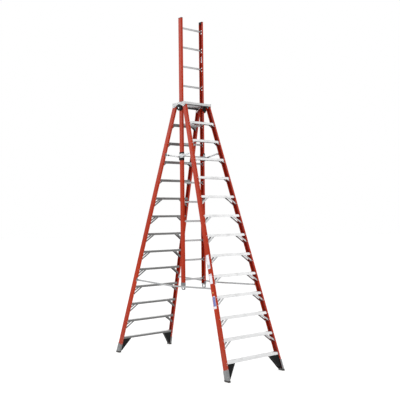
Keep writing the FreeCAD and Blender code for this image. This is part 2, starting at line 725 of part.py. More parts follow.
def top_cap():
    """Level channel over side B's rail tops, closed at both ends by a riveted tab."""
    half = PLATE_INNER - 0.2
    outer = block(CAP_INNER, CAP_OUTER, -half, half, CAP_BOTTOM, CAP_TOP)
    top_edges = [e for e in outer.Edges if e.Length > 400 and e.CenterOfMass.z > CAP_TOP - 1]
    outer = outer.makeFillet(3, top_edges)
    cap = outer.cut(block(CAP_INNER + SKIRT_WALL, CAP_OUTER - SKIRT_WALL, -half + SKIRT_WALL,
                          half - SKIRT_WALL, CAP_BOTTOM - 1, CAP_TOP - TREAD_WALL))
    rib_pitch = (CAP_OUTER - CAP_INNER - 2 * RIB_WIDTH) / (TREAD_RIBS - 0.2)
    ribs = []
    for index in range(TREAD_RIBS):
        x = CAP_INNER + 5 + index * rib_pitch
        ribs.append(block(x, x + RIB_WIDTH, -half + 4, half - 4, CAP_TOP - 1, CAP_TOP + RIB_HEIGHT))
    return cap.fuse(ribs).cut([round_hole(x, CAP_RIVET_Z, RIVET_RADIUS + HOLE_GAP) for x in CAP_RIVETS_X])


def fly_guide():
    """Plastic guide round the far fly rail: a shield outside the web, a cheek along each flange."""
    wide = 62.0
    cheek = 52.0
    top = 4052.0
    shoulder = 4012.0
    low = 3935.0
    right = [(wide, top), (wide, shoulder), (cheek, shoulder - 24), (cheek, shoulder - 46), (30, low + 6),
             (14, low)]
    left = [(-x, z) for x, z in reversed(right)]
    start = FLY_HALF_WIDTH - FLANGE / 2 + 1
    guide = prism([V(x, start, z) for x, z in right + left], V(0, PLATE_INNER - start, 0))
    pocket = FLY_WEB / 2 + RUNNING_GAP
    web = FLY_HALF_WIDTH + FLANGE / 2 + RUNNING_GAP
    guide = guide.cut(block(-pocket, pocket, start - 5, web, low - 5, top + 50))
    places = both_ways([(GUIDE_BOLT_X, GUIDE_BOLT_Z)]) + [(0, SHIELD_BOLT_Z)]
    return guide.cut([round_hole(x, z, GUIDE_BOLT_RADIUS + HOLE_GAP, 0) for x, z in places])


def hexagon(at, width, height):
    """Hexagonal prism on the Z axis, from its width across the flats."""
    radius = width / math.sqrt(3)
    points = []
    for k in range(6):
        points.append(V(radius * math.cos(math.pi / 3 * k), radius * math.sin(math.pi / 3 * k), at))
    return prism(points, V(0, 0, height))


def inward_bolt(x, y, z, width, head, shank, length, nut_at):
    """Hexagon bolt on the far side, pointing inwards; a nut follows when nut_at is given."""
    washer = 1.4
    bolt = Part.makeCylinder(shank, length, ORIGIN, AXIS_Z)
    bolt = bolt.fuse([hexagon(-head, width, head), Part.makeCylinder(width * 0.62, washer, V(0, 0, -washer))])
    if nut_at:
        bolt = bolt.fuse(hexagon(nut_at, width, head))
    bolt.Placement = FreeCAD.Placement(V(x, y, z), FreeCAD.Rotation(AXIS_Z, V(0, -1, 0)))
    return bolt


def head_fasteners():
    """Hinge bolts with spacers and nuts, guide bolts, and the rivets that hold the caps."""
    outer = PLATE_INNER + PLATE_WALL
    rail_outside = HINGE_HALF_WIDTH + FLANGE / 2 + 2.1
    rail_inside = HINGE_HALF_WIDTH - 2
    found = []
    for x, z in both_ways([(HINGE_X, HINGE_Z)]):
        nut_at = outer - rail_inside
        bolt = inward_bolt(x, outer, z, 17, 7, HINGE_BOLT_RADIUS, nut_at + 10, nut_at)
        spacer = round_hole(x, z, 9, rail_outside, PLATE_INNER)
        found.append(bolt.fuse(spacer))
    for x, z in both_ways([(GUIDE_BOLT_X, GUIDE_BOLT_Z)]):
        found.append(inward_bolt(x, outer, z, 10, 4, GUIDE_BOLT_RADIUS, 20, None))
    found.append(inward_bolt(0, PLATE_INNER, SHIELD_BOLT_Z, 20, 5, GUIDE_BOLT_RADIUS, 18, None))
    grip = PLATE_WALL + 0.2 + SKIRT_WALL
    profile = [(-RIVET_RISE, 2.6), (-0.8, RIVET_HEAD - 0.7), (0, RIVET_HEAD), (0, RIVET_RADIUS),
               (grip, RIVET_RADIUS), (grip, RIVET_HEAD - 0.8), (grip + RIVET_RISE, RIVET_HEAD - 1.8)]
    for x, z in both_ways([(x, CAP_RIVET_Z) for x in CAP_RIVETS_X]):
        found.append(turned(V(x, outer, z), V(0, -1, 0), profile))
    return found + [item.mirror(ORIGIN, AXIS_Y) for item in found]


def lock_bar():
    """Round bar between the guides, with a collar on both sides of each lock."""
    half = FLY_HALF_WIDTH - FLANGE / 2 + 0.8
    bar = round_hole(LOCK_BAR_X, LOCK_BAR_Z, LOCK_BAR_RADIUS, -half, half)
    collar = 5.0
    gap = LOCK_WALL / 2 + 0.5
    collars = []
    for y in (-LOCK_Y - gap - collar, -LOCK_Y + gap, LOCK_Y - gap - collar, LOCK_Y + gap):
        collars.append(round_hole(LOCK_BAR_X, LOCK_BAR_Z, LOCK_BAR_RADIUS + 4, y, y + collar))
    return bar.fuse(collars)


def rung_path(rung_z):
    """Cutter for the way the rung takes out of its seat, past the hook, as the hook swings down."""
    reach = math.hypot(LOCK_BAR_X, rung_z - LOCK_BAR_Z)
    ring = round_hole(LOCK_BAR_X, LOCK_BAR_Z, reach + SEAT_RADIUS)
    ring = ring.cut(round_hole(LOCK_BAR_X, LOCK_BAR_Z, reach - SEAT_RADIUS))
    seated = math.atan2(rung_z - LOCK_BAR_Z, -LOCK_BAR_X)
    far = 3 * reach
    pivot = V(LOCK_BAR_X, -400, LOCK_BAR_Z)
    wedge = [pivot]
    for turn in (0, 35, 70):
        angle = seated + math.radians(turn)
        wedge.append(pivot + V(far * math.cos(angle), 0, far * math.sin(angle)))
    return ring.common(prism(wedge, V(0, 800, 0)))


def rung_lock():
    """Hook on the lock bar: a cradle under the locked rung and a tail that hangs behind."""
    y = LOCK_Y - LOCK_WALL / 2
    wall = V(0, LOCK_WALL, 0)
    rung_z = TOP_RUNG - RUNG_PITCH * LOCKED_RUNG
    pivot = V(LOCK_BAR_X, y, LOCK_BAR_Z)
    cradle = round_hole(0, rung_z, CRADLE_RADIUS, y, y + LOCK_WALL)
    mouth = [V(-60, y, rung_z - 6), V(60, y, rung_z + 4), V(60, y, rung_z + 60), V(-60, y, rung_z + 60)]
    cradle = cradle.cut(prism(mouth, wall))
    arm = stadium(pivot, V(-8, y, rung_z - 21), 20, wall, None)
    hub = round_hole(LOCK_BAR_X, LOCK_BAR_Z, 20, y, y + LOCK_WALL)
    tail = stadium(pivot, pivot + V(-19, 0, -41), 15, wall, None)
    cutters = [round_hole(0, rung_z, SEAT_RADIUS), rung_path(rung_z)]
    cutters.append(round_hole(LOCK_BAR_X, LOCK_BAR_Z, LOCK_BAR_RADIUS + 0.06))
    return cradle.fuse([arm, hub, tail]).cut(cutters).removeSplitter()


# ---------------------------------------------------------------- build

def main():
    os.makedirs("parts", exist_ok=True)
    build_side("a")
    build_side("b")
    for side in ("a", "b"):
        write("lower_spreader_bars_" + side, lower_bars(side))
        write("upper_spreader_bars_" + side, upper_bars(side))
    write("fly_far_rail", [fly_rail(1)])
    write("fly_near_rail", [fly_rail(-1)])
    write("fly_rungs", fly_rungs())
    write("fly_rung_plates", rung_plates())
    write("fly_end_plugs", pair(fly_end_plug()))
    write("fly_boots", pair(fly_boot()))
    write("carriage_brackets", pair(carriage_bracket()) + [carriage_tube()])
    write("carriage_liners", pair(carriage_liner()))
    write("head_plates", pair(head_plate()))
    cap = top_cap()
    write("top_caps", [cap, cap.mirror(ORIGIN, AXIS_X)])
    write("fly_guides", pair(fly_guide()))
    write("head_fasteners", head_fasteners())
    write("lock_bar", [lock_bar()])
    write("rung_locks", pair(rung_lock()))


main()
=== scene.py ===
import json
import math

import bmesh
import bpy
from mathutils import Matrix, Vector


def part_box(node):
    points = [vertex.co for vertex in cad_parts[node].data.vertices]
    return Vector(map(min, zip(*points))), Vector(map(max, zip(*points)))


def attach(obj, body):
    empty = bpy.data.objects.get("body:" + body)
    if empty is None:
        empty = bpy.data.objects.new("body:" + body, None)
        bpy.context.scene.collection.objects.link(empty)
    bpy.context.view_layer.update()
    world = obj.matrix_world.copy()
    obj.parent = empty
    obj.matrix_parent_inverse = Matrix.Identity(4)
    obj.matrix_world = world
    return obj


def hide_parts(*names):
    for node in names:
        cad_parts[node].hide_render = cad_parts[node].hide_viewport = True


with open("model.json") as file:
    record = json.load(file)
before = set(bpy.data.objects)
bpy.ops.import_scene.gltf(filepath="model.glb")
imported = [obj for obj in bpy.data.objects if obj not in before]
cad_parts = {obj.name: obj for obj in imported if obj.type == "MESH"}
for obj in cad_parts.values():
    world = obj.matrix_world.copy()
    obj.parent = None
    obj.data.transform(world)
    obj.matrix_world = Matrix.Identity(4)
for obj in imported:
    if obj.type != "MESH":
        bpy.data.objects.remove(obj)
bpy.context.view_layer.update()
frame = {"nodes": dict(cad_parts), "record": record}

UP = Vector((0, 0, 1))
ACROSS = Vector((0, 1, 0))       # along every tread, rung and cross bar

# Camera, in metres and degrees in the ladder's frame
CAMERA_PLACE = Vector((8.3103, -6.7074, 2.2973))
CAMERA_AZIMUTH = 50.476
CAMERA_PITCH = 1.262
CAMERA_ROLL = -0.657
CAMERA_LENS = 60.596
CAMERA_SENSOR = 36.0
CAMERA_REACH = 200.0

# Colours, linear
ORANGE = (0.47, 0.036, 0.005)
ORANGE_DEEP = (0.30, 0.014, 0.002)
# Deeper red painted on the faces inside the rail channels, as painted shade
ORANGE_INSIDE_SHADE = (0.205, 0.0045, 0.0025)
ORANGE_WORN = (0.52, 0.12, 0.050)
BRIGHT_METAL = (0.82, 0.822, 0.825)
SATIN_METAL = (0.56, 0.565, 0.57)
TUBE_METAL = (0.50, 0.505, 0.51)
HEAD_METAL = (0.30, 0.303, 0.306)
BOOT_METAL = (0.27, 0.275, 0.28)
ZINC_METAL = (0.42, 0.435, 0.45)
ZINC_DULL = (0.30, 0.31, 0.32)
ZINC_STRAW = (0.42, 0.38, 0.30)
# Oxide in patches; also the colour of painted shade on faces that look down
OXIDE_AND_SHADE = (0.105, 0.105, 0.103)
BLACK = (0.005, 0.005, 0.0052)
BLACK_BLOOM = (0.013, 0.013, 0.0135)
BLACK_RUBBED = (0.07, 0.07, 0.07)
BLACK_PEEL = (0.030, 0.030, 0.033)
RUBBER = (0.022, 0.021, 0.020)
RUBBER_SAND = (0.040, 0.039, 0.037)
DUST = (0.20, 0.18, 0.155)
LABEL_WHITE = (0.80, 0.80, 0.86)
LABEL_BLUE = (0.12, 0.15, 0.42)
LABEL_GREY = (0.46, 0.47, 0.52)
BRASS_METAL = (0.72, 0.50, 0.18)
BRASS_BROWN = (0.34, 0.20, 0.08)
FLOOR_DARK = (0.32, 0.32, 0.32)
FLOOR_PALE = (0.36, 0.36, 0.36)
WHITE = (1.0, 1.0, 1.0)

# Labels: height of the middle above the floor, width and length, ink bands (from, to, ink) as
# shares of the length from the lower end. No label carries lettering.
RAIL_LABELS = {
    "rail_label_upper": (1.616, 0.060, 0.205, ((0.08, 0.30, "grey"),)),
    "rail_label_middle": (1.378, 0.060, 0.145, ((0.84, 0.94, "grey"),)),
    "rail_label_lower": (1.050, 0.060, 0.180, ((0.20, 0.96, "blue"),)),
}
FLY_LABEL = (4.800, 0.040, 0.100, ((0.70, 0.90, "grey"),))
LABEL_WALL = 0.0004
LABEL_MARGIN = 0.004
LABEL_CORNER = 0.004
LABEL_CUT = 1e-6             # bisecting tolerance
CORNER_STEPS = 5             # points round a quarter circle
STUD_HEIGHT = 1.184
STUD_SIDES = 24
# Radius and rise above the rail, from the rim to the crown
STUD_PROFILE = ((0.0095, 0.0), (0.0095, 0.0006), (0.0080, 0.0014), (0.0050, 0.0021), (0.0020, 0.0024))

# Rail faces
RAIL_WALL = 0.004            # web of a fly rail
FACE_TURN = 0.95             # least share of Y in an outer face's normal
FACE_DEPTH = 0.0005          # corners this near the outermost level lie on the face
END_REACH = 0.03             # corners this near a rail's end in height belong to it

# Fly section
RUNG_PITCH = 0.3048
RUNG_WALL = 0.002
RUNG_FLUTES = 24
FLUTE_DEPTH = 0.0008
FLUTE_POINTS = 4             # points round each flute
FLUTE_FADE = 0.006           # length in which the flutes fade in
PLAIN_END = 0.030            # rung inside its end plate, without flutes
RING_RADIUS = 0.038          # ring boot
RING_WALL = 0.013
RING_BACK = 0.01975          # collar's outer face to the ring's outer face
PAD_START = -52.0            # degrees round the ring from +X
PAD_END = -16.0
PAD_STEPS = 12
PAD_WRAP = 0.004             # wider than the ring
PAD_THICKNESS = 0.0095
PAD_CORNER = 0.0022
PAD_SINK = 0.0022            # middle of the pad inside the ring's outline
PAD_END_SHARE = 0.80         # thickness at the ends of the pad
PAD_SWELL = 0.20             # added to that share in the middle
PAD_SWELL_POWER = 0.4

# Head and spreaders
LOCK_COLLAR_RISE = 0.004     # above the lock bar
LOCK_COLLAR_REACH = 0.0055   # past the lock's face
SPRING_WIRE = 0.0010
SPRING_TURNS = 4
SPRING_TAIL_ANGLE = -114.9   # degrees round the lock bar from +X
SPRING_TURN_STEPS = 24
SPRING_PITCH = 2.15          # coil to coil, in wire radii
SPRING_TAIL = 0.016
COIL_CLEAR = 0.0004          # coil to lock bar
COLLAR_CLEAR = 0.0006        # coil to collar
LEG_CLEAR = 0.0035           # leg to collar
LEG_BEND = 0.0015            # bend at the end of the leg, along the bar
LEG_DIP = 0.001              # and towards it
WIRE_SIDES = 10
BAR_WIDTH = 0.025
BAR_WALL = 0.004
PIVOT_HEAD_RISE = 0.0027
PIVOT_CLEAR = 0.030          # pivot to the end of the rib
BEAD_RISE = 0.0012
BEAD_WIDTH = 0.008
BEAD_SINK = 0.0002           # underside of the rib inside the bar
BEAD_FADE = 1.5              # length of each faded end, in rib widths
BEAD_STEPS = 10              # round the rib
# Share of the fade, share of full width and rise there
BEAD_ENDS = ((0.0, 0.05), (0.25, 0.45), (0.6, 0.85), (1.0, 1.0))

# Studio. The world is brightest in the direction BEHIND, the far side of the set from the camera,
# and fades to WORLD_NEAR on the camera's own side.
BEHIND = (-0.771, 0.636, 0.0)
WORLD_BEHIND = 1.00
WORLD_NEAR = 0.60
WORLD_FADE = (-0.2, 0.8)     # share of BEHIND in a direction, where the fade starts and ends
FLOOR_GLOW = 0.74
FLOOR_RADII = (2.0, 6.0, 18.0, 60.0)
FLOOR_SIDES = 96
# Place, target, size in metres and power in watts
SOFT_BOXES = {
    "key_light": ((9.5, -3.0, 4.5), (0, 0, 2.4), 5.0, 230),
    "sheen_light": ((-8.0, -8.5, 8.0), (0, 0, 4.2), 7.0, 560),
    "tread_light": ((8.0, 9.0, 7.0), (0.8, 0, 2.2), 9.0, 150),
    "top_light": ((0.0, 0.0, 12.0), (0, 0, 0), 7.0, 120),
}


# ---------------------------------------------------------------- materials
# Noise sizes are in metres. A span takes the part of a noise between two levels to a new range.

class Nodes:
    """One material's node tree, with short calls for the nodes used here."""

    def __init__(self, name):
        self.material = bpy.data.materials.new(name)
        self.material.use_nodes = True
        self.tree = self.material.node_tree
        self.shader = self.tree.nodes["Principled BSDF"]

    def add(self, kind, inputs, **settings):
        made = self.tree.nodes.new("ShaderNode" + kind)
        for key, value in settings.items():
            setattr(made, key, value)
        for key, value in inputs.items():
            self.put(made.inputs[key], value)
        return made

    def put(self, socket, value):
        """Link an output to the socket, or set the socket's own value."""
        if isinstance(value, bpy.types.NodeSocket):
            self.tree.links.new(value, socket)
        elif isinstance(value, tuple) and len(value) == 3 and socket.type == "RGBA":
            socket.default_value = value + (1.0,)
        else:
            socket.default_value = value

    def surface(self, **values):
        for key, value in values.items():
            self.put(self.shader.inputs[key.replace("_", " ")], value)

    def grain(self, sizes, along=UP):
        """Coordinates whose unit is the given size in metres; the last size is along the grain."""
        turn = along.to_track_quat("Z", "Y").to_euler()
        place = self.add("TexCoord", {}).outputs["Object"]
        scaled = self.add("Mapping", {"Vector": place, "Rotation": tuple(turn), "Scale": sizes},
                          vector_type="TEXTURE")
        return scaled.outputs["Vector"]

    def noise(self, sizes, along=UP, detail=2.0, distortion=0.0):
        made = self.add("TexNoise", {"Vector": self.grain(sizes, along), "Scale": 1.0,
                                     "Detail": detail, "Distortion": distortion})
        return made.outputs[0]

    def cells(self, size):
        """Distance to the middle of the nearest of many small cells."""
        made = self.add("TexVoronoi", {"Vector": self.grain((size, size, size)), "Scale": 1.0})
        return made.outputs["Distance"]

    def span(self, value, low, high, to_low=0.0, to_high=1.0):
        made = self.add("MapRange", {"Value": value, "From Min": low, "From Max": high,
                                     "To Min": to_low, "To Max": to_high})
        return made.outputs["Result"]

    def math(self, operation, first, second):
        made = self.add("Math", {0: first, 1: second}, operation=operation)
        return made.outputs[0]

    def mix(self, share, first, second):
        made = self.add("Mix", {0: share, 6: first, 7: second}, data_type="RGBA")
        return made.outputs[2]

    def bump(self, height, distance, strength, below=None):
        inputs = {"Height": height, "Distance": distance, "Strength": strength}
        if below is not None:
            inputs["Normal"] = below
        return self.add("Bump", inputs).outputs["Normal"]

    def height_above_floor(self):
        place = self.add("TexCoord", {}).outputs["Object"]
        return self.add("SeparateXYZ", {"Vector": place}).outputs["Z"]

    def facing(self, direction, low, high):
        """0 on faces whose normal has no more than low of a direction in it, 1 from high upwards."""
        normal = self.add("TexCoord", {}).outputs["Normal"]
        dot = self.add("VectorMath", {0: normal, 1: tuple(direction)}, operation="DOT_PRODUCT")
        return self.span(dot.outputs["Value"], low, high)

    def facing_down(self):
        """0 on faces that look up, 1 on faces that look down; the mask of the painted shade on metal."""
        return self.facing(UP, 0.12, -0.22)


def fibreglass(name, along, inward):
    """Pultruded glass fibre: rovings run along the rail under a thin veil, gloss worn in streaks.

    The inside of the channel is painted a deeper red, as shade.
    """
    n = Nodes(name)
    rovings = n.noise((0.0022, 0.0022, 0.55), along, detail=4.0)
    veil = n.noise((0.0011, 0.0011, 0.006), along, detail=3.0, distortion=1.2)
    cloud = n.noise((0.16, 0.16, 0.60), along, detail=3.0)
    scuffs = n.noise((0.010, 0.010, 0.045), along, detail=5.0, distortion=0.6)
    low_down = n.span(n.height_above_floor(), 0.9, 0.1)
    depth = n.math("ADD", n.span(rovings, 0.30, 0.72, 0.0, 0.55),
                   n.span(cloud, 0.30, 0.70, 0.0, 0.45))
    colour = n.mix(depth, ORANGE_DEEP, ORANGE)
    colour = n.mix(n.span(veil, 0.60, 0.80, 0.0, 0.22), colour, ORANGE_WORN)
    worn = n.span(scuffs, 0.66, 0.76)
    colour = n.mix(n.math("MULTIPLY", worn, 0.45), colour, ORANGE_WORN)
    # Painted shade: faces inside the channel are mixed towards the deeper inside red.
    inside_shade = n.math("MULTIPLY", n.facing(inward, 0.5, 0.9), n.span(cloud, 0.30, 0.70, 0.92, 0.72))
    colour = n.mix(inside_shade, colour, ORANGE_INSIDE_SHADE)
    dusty = n.math("MULTIPLY", low_down, n.span(cloud, 0.42, 0.75, 0.0, 0.28))
    colour = n.mix(dusty, colour, DUST)
    gloss = n.math("ADD", n.span(rovings, 0.2, 0.8, 0.30, 0.42), n.math("MULTIPLY", worn, 0.22))
    normal = n.bump(rovings, 0.00025, 0.55)
    normal = n.bump(veil, 0.00010, 0.45, below=normal)
    n.surface(Base_Color=colour, Roughness=gloss, Normal=normal, Specular_IOR_Level=0.12,
              Coat_Weight=0.03, Coat_Roughness=0.25)
    return n.material


def aluminium(name, tone, rough=0.34, down_shade=0.0):
    """Extruded or drawn aluminium: die lines across the ladder, handling marks, thin oxide in patches,
    and painted shade on faces that look down by the given share.
    """
    n = Nodes(name)
    lines = n.noise((0.0007, 0.0007, 0.40), ACROSS, detail=4.0)
    streaks = n.noise((0.006, 0.006, 0.50), ACROSS, detail=3.0)
    patches = n.noise((0.05, 0.05, 0.09), ACROSS, detail=4.0, distortion=0.5)
    scratches = n.noise((0.0016, 0.0300, 0.0016), ACROSS, detail=3.0, distortion=0.8)
    oxide = n.span(patches, 0.52, 0.78, 0.0, 0.20)
    colour = n.mix(n.math("ADD", oxide, n.span(streaks, 0.30, 0.75, 0.0, 0.16)), tone, OXIDE_AND_SHADE)
    # Painted shade: faces that look down are darkened towards the oxide colour.
    if down_shade:
        colour = n.mix(n.math("MULTIPLY", n.facing_down(), down_shade), colour, OXIDE_AND_SHADE)
    scored = n.span(scratches, 0.68, 0.78)
    colour = n.mix(n.math("MULTIPLY", scored, 0.30), colour, BRIGHT_METAL)
    gloss = n.math("ADD", n.span(patches, 0.25, 0.75, rough - 0.06, rough + 0.10),
                   n.span(lines, 0.30, 0.70, -0.03, 0.05))
    normal = n.bump(lines, 0.00012, 0.60)
    normal = n.bump(scored, 0.00006, 0.50, below=normal)
    n.surface(Base_Color=colour, Metallic=1.0, Roughness=gloss, Normal=normal)
    return n.material


def stamped(name, tone, rough=0.42, down_shade=0.85):
    """Stamped sheet: no grain direction, tumbled surface, small dents and rubbed patches, with painted
    shade on faces that look down.
    """
    n = Nodes(name)
    tumble = n.noise((0.0013, 0.0013, 0.0013), detail=5.0)
    rub = n.noise((0.035, 0.035, 0.035), detail=4.0, distortion=0.7)
    dents = n.noise((0.012, 0.012, 0.012), detail=2.0)
    colour = n.mix(n.span(rub, 0.40, 0.75, 0.0, 0.30), tone, OXIDE_AND_SHADE)
    colour = n.mix(n.span(tumble, 0.55, 0.75, 0.0, 0.18), colour, BRIGHT_METAL)
    # Painted shade: faces that look down are darkened towards the oxide colour.
    colour = n.mix(n.math("MULTIPLY", n.facing_down(), down_shade), colour, OXIDE_AND_SHADE)
    gloss = n.span(rub, 0.25, 0.75, rough - 0.10, rough + 0.12)
    normal = n.bump(dents, 0.00050, 0.35)
    normal = n.bump(tumble, 0.00012, 0.55, below=normal)
    n.surface(Base_Color=colour, Metallic=1.0, Roughness=gloss, Normal=normal)
    return n.material


def zinc(name):
    """Bright zinc plate: fine spangle, faint blue to straw tint, dull where it is handled."""
    n = Nodes(name)
    spangle = n.cells(0.0060)
    tint = n.noise((0.030, 0.030, 0.030), detail=3.0, distortion=0.8)
    pits = n.noise((0.0012, 0.0012, 0.0012), detail=4.0)
    grey = n.span(spangle, 0.0, 0.9, 0.0, 0.35)
    colour = n.mix(grey, ZINC_METAL, ZINC_DULL)
    colour = n.mix(n.span(tint, 0.42, 0.72, 0.0, 0.35), colour, ZINC_STRAW)
    gloss = n.span(tint, 0.25, 0.75, 0.28, 0.46)
    normal = n.bump(spangle, 0.00012, 0.30)
    normal = n.bump(pits, 0.00010, 0.50, below=normal)
    n.surface(Base_Color=colour, Metallic=1.0, Roughness=gloss, Normal=normal)
    return n.material


def moulded(name):
    """Moulded black plastic: spark-eroded grain, grey bloom and rubbed marks."""
    n = Nodes(name)
    skin = n.cells(0.0010)
    bloom = n.noise((0.05, 0.05, 0.05), detail=4.0)
    rubs = n.noise((0.010, 0.010, 0.035), detail=5.0, distortion=0.7)
    colour = n.mix(n.span(bloom, 0.45, 0.80, 0.0, 0.55), BLACK, BLACK_BLOOM)
    colour = n.mix(n.span(rubs, 0.66, 0.76, 0.0, 0.35), colour, BLACK_RUBBED)
    gloss = n.span(bloom, 0.25, 0.75, 0.44, 0.66)
    normal = n.bump(skin, 0.00016, 0.45)
    n.surface(Base_Color=colour, Roughness=gloss, Normal=normal, Specular_IOR_Level=0.12)
    return n.material


def painted_black(name):
    """Satin black paint over steel: orange peel, with metal showing through small chips."""
    n = Nodes(name)
    peel = n.noise((0.0035, 0.0035, 0.0035), detail=2.0)
    chips = n.noise((0.009, 0.009, 0.020), detail=5.0, distortion=0.9)
    bare = n.span(chips, 0.71, 0.73)
    colour = n.mix(n.span(peel, 0.30, 0.70), BLACK, BLACK_PEEL)
    colour = n.mix(bare, colour, ZINC_METAL)
    gloss = n.math("ADD", n.span(peel, 0.30, 0.70, 0.30, 0.40), n.math("MULTIPLY", bare, 0.08))
    normal = n.bump(peel, 0.00020, 0.40)
    normal = n.bump(bare, -0.00010, 0.60, below=normal)
    n.surface(Base_Color=colour, Metallic=bare, Roughness=gloss, Normal=normal)
    return n.material


def rubber(name):
    """Moulded rubber: fine sandy skin, dust that gathers towards the floor."""
    n = Nodes(name)
    sand = n.noise((0.0008, 0.0008, 0.0008), detail=5.0)
    grime = n.noise((0.018, 0.018, 0.018), detail=4.0)
    low_down = n.span(n.height_above_floor(), 0.022, 0.0)
    dusty = n.math("MULTIPLY", n.span(grime, 0.35, 0.75, 0.10, 0.60), low_down)
    colour = n.mix(n.span(sand, 0.35, 0.70, 0.0, 0.5), RUBBER, RUBBER_SAND)
    colour = n.mix(dusty, colour, DUST)
    gloss = n.span(grime, 0.25, 0.75, 0.66, 0.86)
    normal = n.bump(sand, 0.00018, 0.60)
    n.surface(Base_Color=colour, Roughness=gloss, Normal=normal)
    return n.material


def vinyl(name, ink):
    """Printed vinyl: faded in clouds, rubbed, with a faint orange peel under its gloss."""
    n = Nodes(name)
    fade = n.noise((0.030, 0.030, 0.045), detail=3.0)
    dots = n.noise((0.0012, 0.0012, 0.0012), detail=3.0)
    rubs = n.noise((0.004, 0.004, 0.020), detail=5.0, distortion=0.8)
    pale = tuple(channel * 0.7 + 0.25 for channel in ink)
    colour = n.mix(n.span(fade, 0.40, 0.80, 0.0, 0.30), ink, pale)
    colour = n.mix(n.span(rubs, 0.64, 0.78, 0.0, 0.30), colour, LABEL_GREY)
    gloss = n.span(fade, 0.25, 0.75, 0.26, 0.40)
    normal = n.bump(dots, 0.00005, 0.50)
    n.surface(Base_Color=colour, Roughness=gloss, Normal=normal)
    return n.material


def brass(name):
    """Brass: turning marks round the head, browned in patches."""
    n = Nodes(name)
    tarnish = n.noise((0.004, 0.004, 0.004), detail=4.0)
    marks = n.noise((0.0006, 0.0006, 0.0006), detail=3.0)
    colour = n.mix(n.span(tarnish, 0.40, 0.75, 0.0, 0.45), BRASS_METAL, BRASS_BROWN)
    gloss = n.span(tarnish, 0.25, 0.75, 0.24, 0.42)
    normal = n.bump(marks, 0.00008, 0.40)
    n.surface(Base_Color=colour, Metallic=1.0, Roughness=gloss, Normal=normal)
    return n.material


def pale_floor(name):
    """Seamless studio floor with a barely visible mottle."""
    n = Nodes(name)
    mottle = n.noise((0.8, 0.8, 0.8), detail=3.0)
    fine = n.noise((0.012, 0.012, 0.012), detail=3.0)
    colour = n.mix(n.span(mottle, 0.30, 0.70), FLOOR_DARK, FLOOR_PALE)
    gloss = n.span(mottle, 0.30, 0.70, 0.70, 0.80)
    normal = n.bump(fine, 0.0003, 0.20)
    n.surface(Base_Color=colour, Roughness=gloss, Normal=normal, Emission_Color=WHITE,
              Emission_Strength=FLOOR_GLOW)
    return n.material


# ---------------------------------------------------------------- the rails' own frames

def rail_frame(node, outward):
    """Lower end, long direction and outward normal of a rail's broad outer face."""
    mesh = frame["nodes"][node].data
    outer = [face for face in mesh.polygons if face.normal.y * outward > FACE_TURN]
    facing = max(outer, key=lambda face: face.area).normal.copy()
    corners = [mesh.vertices[index].co for face in outer for index in face.vertices]
    level = max(corner.dot(facing) for corner in corners)
    corners = [corner for corner in corners if corner.dot(facing) > level - FACE_DEPTH]
    low = min(corner.z for corner in corners)
    high = max(corner.z for corner in corners)
    ends = []
    for height in (low, high):
        near = [corner for corner in corners if abs(corner.z - height) < END_REACH]
        left = min(near, key=lambda corner: corner.x)
        right = max(near, key=lambda corner: corner.x)
        ends.append((left + right) / 2)
    along = (ends[1] - ends[0]).normalized()
    return ends[0], along, facing


def point_on_rail(rail, height):
    start, along, _ = rail
    return start + along * ((height - start.z) / along.z)


# ---------------------------------------------------------------- mesh helpers

def new_object(name, bm, materials):
    mesh = bpy.data.meshes.new(name)
    bmesh.ops.recalc_face_normals(bm, faces=bm.faces)
    bm.to_mesh(mesh)
    bm.free()
    for material in materials:
        mesh.materials.append(material)
    made = bpy.data.objects.new(name, mesh)
    bpy.context.scene.collection.objects.link(made)
    return made


def finish_piece(piece, body):
    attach(piece, body)


def loft(bm, rings, closed_ends=True):
    """Skin a list of rings of points, each ring closed on itself."""
    loops = [[bm.verts.new(point) for point in ring] for ring in rings]
    count = len(loops[0])
    for first, second in zip(loops, loops[1:]):
        for index in range(count):
            after = (index + 1) % count
            bm.faces.new((first[index], first[after], second[after], second[index]))
    if closed_ends:
        bm.faces.new(list(reversed(loops[0])))
        bm.faces.new(loops[-1])
    return loops


def rounded_outline(width, length, corner):
    """Rectangle with round corners in the plane, as (across, along) pairs."""
    points = []
    middles = ((1, 1, 0), (-1, 1, 90), (-1, -1, 180), (1, -1, 270))
    for across, along, start in middles:
        for step in range(CORNER_STEPS + 1):
            angle = math.radians(start + 90 * step / CORNER_STEPS)
            points.append((across * (width / 2 - corner) + corner * math.cos(angle),
                           along * (length / 2 - corner) + corner * math.sin(angle)))
    return points


def smooth(piece, degrees=30):
    """Smooth shading with creases kept."""
    for face in piece.data.polygons:
        face.use_smooth = True
    piece.data.set_sharp_from_angle(angle=math.radians(degrees))


# ---------------------------------------------------------------- labels and stud

INKS = {}


